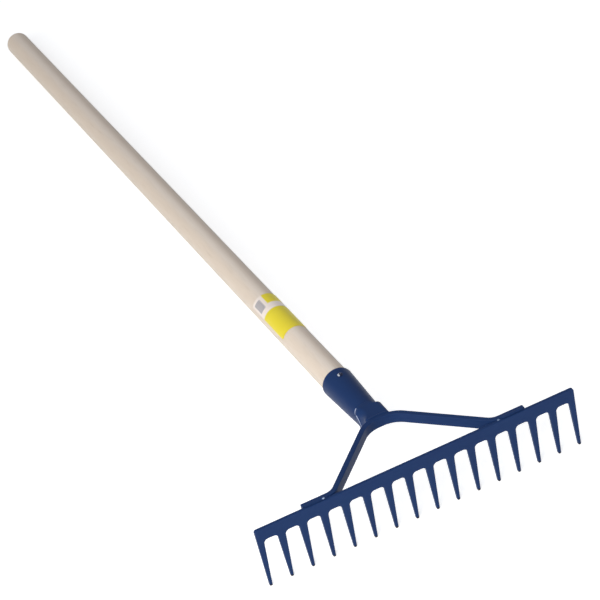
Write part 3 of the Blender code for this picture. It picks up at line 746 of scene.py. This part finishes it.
def bead(name, seam, back, across, up, aside, rise=1.0):
    """Bead whose section lies across along the direction back and up, times rise, along Z, on a seam."""
    length = np.concatenate([[0], np.linalg.norm(np.diff(seam, axis=0), axis=1).cumsum()])
    size = (BEAD_SIZE[:, None] * ripples(length, aside))[..., None]
    raised = np.where(up > 0, np.outer(rise * np.ones(len(seam)), up), up)
    section = across[None, :, None] * back[:, None] + raised[..., None] * np.array([0.0, 0.0, 1.0])
    return surface(name, seam[:, None] + section * size)


def dome(width, height, step):
    """Section of a bead over a seam: half an ellipse, closed below with a step down under its front half."""
    angle = np.linspace(0, np.pi, DOME_POINTS)
    across = np.concatenate([-width / 2 * np.cos(angle), [0, 0, -width / 2]])
    up = np.concatenate([height * np.sin(angle), [0, -step, -step]])
    return across, up, np.concatenate([np.abs(np.cos(angle)), [1, 1, 1]])


# %% [markdown]
# ### Beads on the feet
#
# The bar stands 0.7 mm proud of the plate, so the top bead steps down in front. The one below is a hollow
# fillet in the corner. Under each painted highlight each bead on top has a lump, and elsewhere it is lower:
# much lower on the left foot, and only a little on the right.

# %% beads on the feet
FOOT_BEAD_WIDTH, FOOT_BEAD_HEIGHT, FOOT_BEAD_LENGTH = 0.0046, 0.0011, 0.029
FILLET_LEG, FILLET_HOLLOW, BAR_PROUD = 0.003, 0.2, 0.0007
LUMP_SIZE, FEET = 0.0022, (("left", -1, 0.15), ("right", 1, 0.8))

angle = np.linspace(0, np.pi / 2, DOME_POINTS)
aside = np.abs(np.cos(2 * angle))
reach = FILLET_LEG * (1 - FILLET_HOLLOW * (1 - aside))
fillet = np.append(reach * np.cos(angle), 0), np.append(-reach * np.sin(angle), 0), np.append(aside, 1)
cap = dome(FOOT_BEAD_WIDTH, FOOT_BEAD_HEIGHT, BAR_PROUD)
seams = {"top": (plate_front + PLATE_THICKNESS, BAR_TOP + GAP, cap),
         "under": (bar_front, BAR_TOP - BAR_WIDTH - GAP, fillet)}
back = np.tile([0.0, 1.0, 0.0], (BEAD_ROWS, 1))
for (word, side, low), spot in zip(FEET, TACK_GLINT_SPOTS):
    x = side * (BRACE_SPAN / 2 - FILLET_LEG / 2 - FOOT_BEAD_LENGTH * (1 + BEAD_ALONG) / 2)
    rise = low + (1 - low) * np.exp(-((x - spot[0]) / LUMP_SIZE) ** 2)
    for place, (y, z, section) in seams.items():
        seam = np.stack([x, np.full(BEAD_ROWS, y), np.full(BEAD_ROWS, z)], axis=1)
        name = f"foot_bead_{word}_{place}"
        add_piece(name, bead(name, seam, back, *section, rise), enamel, "painted_steel",
                  f"weld_foot_{word}_{place}")

# %% [markdown]
# ### Beads on the neck
#
# They follow the curve of the bar's back, in the middle of the gap between the bar and the neck.

# %% beads on the neck
NECK_BEAD_WIDTH, NECK_BEAD_HEIGHT, NECK_BEAD_SPAN = 0.0034, 0.0005, 0.024

bar_back = path + backward * (BAR_THICKNESS + GAP / 2)
x = NECK_BEAD_SPAN / 2 * BEAD_ALONG
seam_y, back_x, back_y = (np.interp(x, bar_back[:, 0], value)
                          for value in (bar_back[:, 1], backward[:, 0], backward[:, 1]))
back = np.stack([back_x, back_y, np.zeros(BEAD_ROWS)], axis=1)
across, up, aside = dome(NECK_BEAD_WIDTH, NECK_BEAD_HEIGHT, 0.0)
for word, z, flip in (("top", BAR_TOP + GAP, 1), ("under", BAR_TOP - BAR_WIDTH - GAP, -1)):
    seam = np.stack([x, seam_y, np.full(BEAD_ROWS, z)], axis=1)
    name = f"neck_bead_{word}"
    add_piece(name, bead(name, seam, back, across, up * flip, aside), enamel, "painted_steel",
              f"weld_neck_{word}")

# %% [markdown]
# ## The weld round the socket
#
# Where the socket meets the collar the weld is a thin rippled ring. On the top left it is built up into a
# flat pad, level with the collar. The lists say, at some turns about the axis, how far the weld reaches
# along the socket and how much of the pad's height is left at its edge. Turn 0 is the top and a minus is
# the left. Where the weld reaches 1 mm further than the thin ring, the ring has turned wholly into the pad.

# %% where the weld is built up
RING_LEG, RING_RIPPLES, RIPPLE_POINTS, BUILD_UP_START = 0.0008, 64, 9, 0.001
BUILD_UP_TURNS = np.radians([-180, -118, -108, -70, -64, -59, -46, -33, -8, 5, 20, 30, 180])
BUILD_UP_REACH = np.array([0.8, 0.8, 3.0, 3.0, 2.8, 2.4, 4.6, 5.2, 6.5, 6.5, 3.0, 0.8, 0.8]) / 1000
BUILD_UP_LIP = 0, 0, 0.3, 0.3, 0.6, 0.9, 0.95, 0.95, 0.95, 0.95, 0.95, 0, 0

turns = np.linspace(-np.pi, np.pi, RING_RIPPLES * RIPPLE_POINTS, endpoint=False)[:, None]
reach = np.interp(turns, BUILD_UP_TURNS, BUILD_UP_REACH)
built_up = np.clip((reach - RING_LEG) / BUILD_UP_START, 0, 1)
print(f"{(built_up > 0).mean():.0%} of the ring is built up, and it reaches {reach.max() * 1000:.1f} mm")

# %% [markdown]
# ### Its heights
#
# The thin ring is as high as it reaches, less its ripples. The pad starts at the height of the collar's
# shoulder above the socket. At its edge a share of that is left, less what the socket gains in radius on
# the way. Its foot is sunk through the gap into the socket's wall, so that no slit shows below it.

# %% heights of the weld
SUNK, PAD_ROUNDING = 0.00035, 0.0005

shoulder = np.interp(turns, collar_turns, collar_reach, period=2 * np.pi)
rippled = ripples(turns[:, 0] * RING_RIPPLES * RIPPLE_PITCH / (2 * np.pi), np.zeros(1))
bead_rise, level = RING_LEG * rippled * (1 - built_up), shoulder - socket_radius(GAP) - GAP
height = bead_rise + level * built_up
widening = socket_radius(GAP + reach) - socket_radius(GAP)
edge_share = np.interp(turns, BUILD_UP_TURNS, BUILD_UP_LIP) * built_up
lip = bead_rise + (level - widening + SUNK) * edge_share
rounding = np.where(built_up > 0, np.minimum(lip, PAD_ROUNDING), lip)
print(f"the pad stands up to {level[built_up == 1].max() * 1000:.1f} mm above the socket")

# %% [markdown]
# ### Its section
#
# Each row is one section of the weld. It starts at the collar, in the pad 1.2 mm back on the collar's
# rounded edge, runs out along the socket to the weld's edge, turns down by a quarter circle, and comes back
# along its foot. Along a part of the pad's edge a painted highlight lies on the enamel, and the UV map says
# where.

# %% weld round the socket
LAP, LAP_STEP, RUN_OUT_STEPS = 0.0012, 0.00005, 8
EDGE_HIGHLIGHT_TURNS, EDGE_HIGHLIGHT_SHARES = np.radians([-68, -63, -40, -28]), (0, 1, 1, 0)

run_out = np.linspace(0, 1, RUN_OUT_STEPS)[None, :-1]
angle = quarter_turn(EDGE_RINGS)[None]
foot = -SUNK * built_up
edge = foot + lip - rounding * (1 - np.cos(angle))
top_line = height + (edge[:, :1] - height) * run_out
rise = np.concatenate([height, height, top_line, edge, foot, foot], axis=1)
lap = built_up * (-LAP, LAP_STEP - LAP)
out = (reach - rounding) * run_out
ring_s = GAP + np.concatenate([lap, out, reach - rounding * (1 - np.sin(angle)), reach, foot * 0], axis=1)
points = about_axis(socket_radius(ring_s) + GAP + rise, turns, ring_s)
# The painted highlight lies on the pad's edge rows between these turns.
edge_highlight_share = np.interp(turns, EDGE_HIGHLIGHT_TURNS, EDGE_HIGHLIGHT_SHARES) * np.repeat((0, 1, 0), (run_out.size, angle.size + 3, 1))
ring_mesh = surface("socket_bead", points, along=True, uv=np.stack([edge_highlight_share, np.zeros_like(edge_highlight_share)], axis=2))
add_piece("socket_bead", ring_mesh, edge_highlight_enamel, "painted_steel", "weld_socket")

# %% [markdown]
# ## The nail
#
# One round-headed nail goes through the top of the socket into the wood, square to the socket's sloping
# wall. It was driven before the rake was painted, but on its small dome the paint looks darker and glossier
# than elsewhere, and both change from patch to patch.

# %% nail paint
NAIL_FROM_RIM, NAIL_SEAT = 0.0155, 0.00045
NAIL_DARK, NAIL_BLUE = linear("#101A33"), linear("#232E4C")
NAIL_PATCH, NAIL_GLOSSY, NAIL_DULL = 0.0012, 0.16, 0.32

slope = math.atan((SOCKET_RIM_RADIUS - SOCKET_END_RADIUS) / SOCKET_LENGTH)
outward = ABOVE * math.cos(slope) - AWAY * math.sin(slope)
nail_s = rim_s - NAIL_FROM_RIM
nail_seat = about_axis(socket_radius(nail_s) + NAIL_SEAT, 0.0, nail_s)
nail_skin, tree, shader = new_material("painted_nail_steel", IOR=1.5, Specular_IOR_Level=0.2)
place = add_node(tree, "TexCoord", {}).outputs["Object"]
noise = add_node(tree, "TexNoise", {"Vector": place, "Scale": 1 / NAIL_PATCH, "Detail": 3.0})
patches = noise.outputs["Fac"]
tone = add_node(tree, "Mix", {AMOUNT: patches, UNDER: NAIL_DARK, OVER: NAIL_BLUE}, data_type="RGBA")
gloss = add_node(tree, "MapRange", {"Value": patches, "To Min": NAIL_GLOSSY, "To Max": NAIL_DULL})
tree.links.new(gloss.outputs[0], shader.inputs["Roughness"])
print(f"the nail leans {math.degrees(slope - tilt):.1f} degrees towards the teeth")

# %% [markdown]
# ### The painted highlight
#
# On the side towards the handle's end and to the left, a pale, half-metallic crescent is painted on the
# head's
# rim: a painted highlight where the rim catches the light. It is where a point is far enough from the nail's
# own axis, which is the length of a cross product, and far enough to that side, which is a dot product.

# %% nail painted highlight
NAIL_GLINT_SIDE = (AWAY - SIDE) / math.sqrt(2)
NAIL_GLINT_OUTER_FROM, NAIL_GLINT_OUTER_FULL = 0.0014, 0.0019
NAIL_GLINT_ASIDE_FROM, NAIL_GLINT_ASIDE_FULL = -0.0010, 0.0004
NAIL_GLINT_PALE, NAIL_GLINT_METALLIC = linear("#E4E8F0"), 0.5

offset = add_node(tree, "VectorMath", {0: place, 1: tuple(nail_seat)}, operation="SUBTRACT").outputs[0]
square = add_node(tree, "VectorMath", {0: offset, 1: tuple(outward)}, operation="CROSS_PRODUCT").outputs[0]
outer = add_node(tree, "VectorMath", {0: square}, operation="LENGTH").outputs["Value"]
aside = add_node(tree, "VectorMath", {0: offset, 1: tuple(NAIL_GLINT_SIDE)},
                 operation="DOT_PRODUCT").outputs["Value"]
rim = add_node(tree, "MapRange", {"Value": outer, "From Min": NAIL_GLINT_OUTER_FROM,
                                  "From Max": NAIL_GLINT_OUTER_FULL})
near = add_node(tree, "MapRange", {"Value": aside, "From Min": NAIL_GLINT_ASIDE_FROM,
                                   "From Max": NAIL_GLINT_ASIDE_FULL})
painted_glint = add_node(tree, "Math", {0: rim.outputs[0], 1: near.outputs[0]}, operation="MULTIPLY").outputs[0]
# Painted highlight: a pale crescent mixed into the paint colour, half metallic.
tone = add_node(tree, "Mix", {AMOUNT: painted_glint, UNDER: tone.outputs[BLEND], OVER: NAIL_GLINT_PALE}, data_type="RGBA")
metal = add_node(tree, "Math", {0: painted_glint, 1: NAIL_GLINT_METALLIC}, operation="MULTIPLY")
tree.links.new(metal.outputs[0], shader.inputs["Metallic"])
tree.links.new(tone.outputs[BLEND], shader.inputs["Base Color"])
print("nail:", len(tree.nodes), "nodes")

# %% [markdown]
# ### Its shape
#
# The nail is turned about its own axis: a domed head, a straight shank and a point.

# %% nail
NAIL_LENGTH, NAIL_POINT, NAIL_SHANK_RADIUS = 0.022, 0.003, 0.0016
NAIL_HEAD_RADIUS, NAIL_HEAD_HEIGHT, NAIL_HEAD_RINGS, NAIL_TURNS = 0.0031, 0.0015, 12, 48

corner = quarter_turn(NAIL_HEAD_RINGS)
radius = np.concatenate([NAIL_HEAD_RADIUS * np.sin(corner), [NAIL_HEAD_RADIUS - GAP, NAIL_SHANK_RADIUS,
                                                             NAIL_SHANK_RADIUS, 0.0]])[:, None, None]
rise = np.concatenate([NAIL_HEAD_HEIGHT * np.cos(corner), [-GAP / 2, 0.0, NAIL_POINT - NAIL_LENGTH,
                                                           -NAIL_LENGTH]])[:, None, None]
turns = np.linspace(0, 2 * np.pi, NAIL_TURNS, endpoint=False)[None, :, None]
out = np.cos(turns) * SIDE + np.sin(turns) * np.cross(outward, SIDE)
nail_mesh = surface("socket_nail_head", nail_seat + rise * outward + radius * out)
add_piece("socket_nail_head", nail_mesh, nail_skin, "painted_steel", "socket_nail")

# %% [markdown]
# ## The label
#
# A printed paper label is wrapped over the handle. It keeps the photograph's plain fields, a yellow one and
# a white one with a block of fine rules, and carries no words. Its skin is a grid in the handle's turn and
# length with its own UV map, so the print follows the paper. Its outer and inner side meet at the end rows,
# which closes the paper's edge.

# %% label paper
LABEL_FROM_RIM, LABEL_LENGTH, LABEL_CORNER, LABEL_THICKNESS = 0.120, 0.095, 0.003, 0.0002
LABEL_HALF_ANGLE = math.radians(70)
LABEL_ROWS, LABEL_COLUMNS = 64, 72

share = (1 - np.cos(np.linspace(0, np.pi, LABEL_ROWS))) / 2
to_end = np.minimum(share, 1 - share) * LABEL_LENGTH
inset = LABEL_CORNER - np.sqrt(LABEL_CORNER ** 2 - np.clip(LABEL_CORNER - to_end, 0, None) ** 2)
half_angle = LABEL_HALF_ANGLE - inset / HANDLE_RADIUS
width = np.linspace(-1, 1, LABEL_COLUMNS)
turn = half_angle[:, None] * np.concatenate([width, width[::-1]])
outer_side = np.arange(2 * LABEL_COLUMNS) < LABEL_COLUMNS
thick = np.where(outer_side, LABEL_THICKNESS, 0.0) + np.zeros_like(turn)
thick[[0, -1]] = LABEL_THICKNESS / 2
s = (rim_s + LABEL_FROM_RIM + LABEL_LENGTH * share)[:, None]
uv = np.stack([turn / (2 * LABEL_HALF_ANGLE) + 0.5, share[:, None] + np.zeros_like(turn)], axis=2)
label_mesh = surface("paper_label", about_axis(HANDLE_RADIUS + GAP + thick, turn, s), uv=uv)
print(f"the label goes round {math.degrees(2 * LABEL_HALF_ANGLE) / 360:.0%} of the handle")

# %% [markdown]
# ### The print
#
# Each field is a rectangle in the UV map: left, right, low and high, where 0 to 1 is the whole width and
# length. A Compare node says whether a value lies within half the field's size of its middle. The rules are
# a field cut into even lines. The field colours are laid on the white paper one after the other.

# %% label fields
FIELDS = {"yellow": (0.0, 1.0, 0.0, 0.61),
          "strip": (0.42, 0.96, 0.76, 1.0),
          "rules": (0.07, 0.31, 0.72, 0.95)}
RULE_COUNT, RULE_SHARE = 7, 0.6

paper, tree, shader = new_material("satin_printed_paper", Roughness=0.45, IOR=1.45, Specular_IOR_Level=0.5)
uv_place = add_node(tree, "TexCoord", {}).outputs["UV"]
u, v, _ = add_node(tree, "SeparateXYZ", {"Vector": uv_place}).outputs
masks = {}
for name, (left, right, low, high) in FIELDS.items():
    beside = add_node(tree, "Math", {0: u, 1: (left + right) / 2, 2: (right - left) / 2},
                      operation="COMPARE")
    along = add_node(tree, "Math", {0: v, 1: (low + high) / 2, 2: (high - low) / 2}, operation="COMPARE")
    both = add_node(tree, "Math", {0: beside.outputs[0], 1: along.outputs[0]}, operation="MULTIPLY")
    masks[name] = both.outputs[0]
low, high = FIELDS["rules"][2:]
lines = add_node(tree, "Math", {0: v, 1: RULE_COUNT / (high - low)}, operation="MULTIPLY")
part = add_node(tree, "Math", {0: lines.outputs[0]}, operation="FRACT")
ruled = add_node(tree, "Math", {0: part.outputs[0], 1: RULE_SHARE}, operation="LESS_THAN")
rules = add_node(tree, "Math", {0: ruled.outputs[0], 1: masks["rules"]}, operation="MULTIPLY")
print(f"the rules are {LABEL_LENGTH * (high - low) / RULE_COUNT * 1000:.1f} mm apart")

# %% label print
LABEL_YELLOW, LABEL_WHITE, LABEL_GREY = linear("#F2DF35"), linear("#F8ECE2"), linear("#7D8090")
CREASE_SIZE, CREASE_DEPTH, CREASE_STRENGTH = 0.012, 0.0004, 0.25

printed = LABEL_WHITE
for mask, ink in ((masks["yellow"], LABEL_YELLOW), (masks["strip"], LABEL_YELLOW),
                  (rules.outputs[0], LABEL_GREY)):
    mix = add_node(tree, "Mix", {AMOUNT: mask, UNDER: printed, OVER: ink}, data_type="RGBA")
    printed = mix.outputs[BLEND]
place = add_node(tree, "TexCoord", {}).outputs["Object"]
creases = add_node(tree, "TexNoise", {"Vector": place, "Scale": 1 / CREASE_SIZE, "Detail": 2.0})
relief = add_node(tree, "Bump", {"Height": creases.outputs["Fac"], "Strength": CREASE_STRENGTH,
                                 "Distance": CREASE_DEPTH})
tree.links.new(printed, shader.inputs["Base Color"])
tree.links.new(relief.outputs["Normal"], shader.inputs["Normal"])
add_piece("paper_label", label_mesh, paper, "label", "label")

# %% [markdown]
# ## The floor
#
# The photograph's background is white. The floor is a pale matt sheet. To the camera and in reflections it
# also glows a little, so that it is white without more light on the rake, and it still shows the rake's
# soft shadow.

# %% floor
FLOOR_HALF, FLOOR_GLOW = 30.0, 0.55
FLOOR_PAPER, WHITE = linear("#F2F2F0"), linear("#FFFFFF")

corners = FLOOR_HALF * np.array([(-1, -1, 0), (1, -1, 0), (1, 1, 0), (-1, 1, 0)])
floor_mesh = bpy.data.meshes.new("floor")
floor_mesh.from_pydata(corners, [], [(0, 1, 2, 3)])
floor = bpy.data.objects.new("floor", floor_mesh)
bpy.context.scene.collection.objects.link(floor)
sheet, tree, shader = new_material("pale_paper_floor", Roughness=0.9, Specular_IOR_Level=0.0)
shader.inputs["Base Color"].default_value = FLOOR_PAPER
rays = add_node(tree, "LightPath", {}).outputs
seen = rays["Is Camera Ray"]
for kind in ("Is Glossy Ray", "Is Transmission Ray"):
    seen = add_node(tree, "Math", {0: seen, 1: rays[kind]}, operation="ADD").outputs[0]
glow_strength = add_node(tree, "Math", {0: seen, 1: FLOOR_GLOW}, operation="MULTIPLY").outputs[0]
glow = add_node(tree, "Emission", {"Color": WHITE, "Strength": glow_strength})
mixed = add_node(tree, "AddShader", {0: shader.outputs[0], 1: glow.outputs[0]})
tree.links.new(mixed.outputs[0], tree.nodes["Material Output"].inputs["Surface"])
floor_mesh.materials.append(sheet)
print(f"the floor is {2 * FLOOR_HALF:.0f} m wide")

# %% [markdown]
# ## The light
#
# In the photograph the front and the left side of the rake are lit softly, and its shadow is faint. So a
# large soft lamp stands in front on the left, a second one further left makes the handle's left side the
# palest, and a weak, slightly blue one behind on the right keeps the far side from going dark and brown. An
# even grey sky, a little bluer above, fills the rest, and it is the same in every reflection.

# %% sky
SKY_LOW, SKY_HIGH = 0.10, 0.34
SKY_GREY, SKY_BLUER = linear("#999694"), linear("#A3A4A8")

sky = bpy.data.worlds.new("studio")
bpy.context.scene.world = sky
sky.use_nodes = True
tree = sky.node_tree
direction = add_node(tree, "TexCoord", {}).outputs["Generated"]
rise = add_node(tree, "SeparateXYZ", {"Vector": direction}).outputs["Z"]
share = add_node(tree, "MapRange", {"Value": rise, "From Min": SKY_LOW, "From Max": SKY_HIGH})
tone = add_node(tree, "Mix", {AMOUNT: share.outputs[0], UNDER: SKY_GREY, OVER: SKY_BLUER}, data_type="RGBA")
tree.links.new(tone.outputs[BLEND], tree.nodes["Background"].inputs["Color"])
print(f"the sky turns bluer from {math.degrees(math.asin(SKY_LOW)):.0f} degrees above the horizon")

# %% lamps
LAMP_AIM, LAMP_SIZE = (0.0, -0.5, 0.05), 1.6
LAMPS = (("key", (-1.50, -2.45, 1.75), 45.0, "#FFFFFF"),
         ("side", (-2.55, -1.55, 1.25), 27.0, "#FFFFFF"),
         ("fill", (2.25, 0.25, 1.85), 4.0, "#B8D4FF"))

for name, where, power, colour in LAMPS:
    lamp = bpy.data.lights.new(name, "AREA")
    lamp.shape = "DISK"
    lamp.size = LAMP_SIZE
    lamp.energy = power
    lamp.color = linear(colour)[:3]
    holder = bpy.data.objects.new(name, lamp)
    bpy.context.scene.collection.objects.link(holder)
    holder.location = where
    towards = np.array(LAMP_AIM) - np.array(where)
    flat = math.hypot(towards[0], towards[1])
    holder.rotation_euler = (math.atan2(flat, -towards[2]), 0.0, math.atan2(-towards[0], towards[1]))
    print(f"{name}: {power} W, {LAMP_SIZE} m across")

# %% [markdown]
# ## The end
#
# The picture is shown with plain tones.

# %% finish
bpy.context.scene.view_settings.view_transform = "Standard"
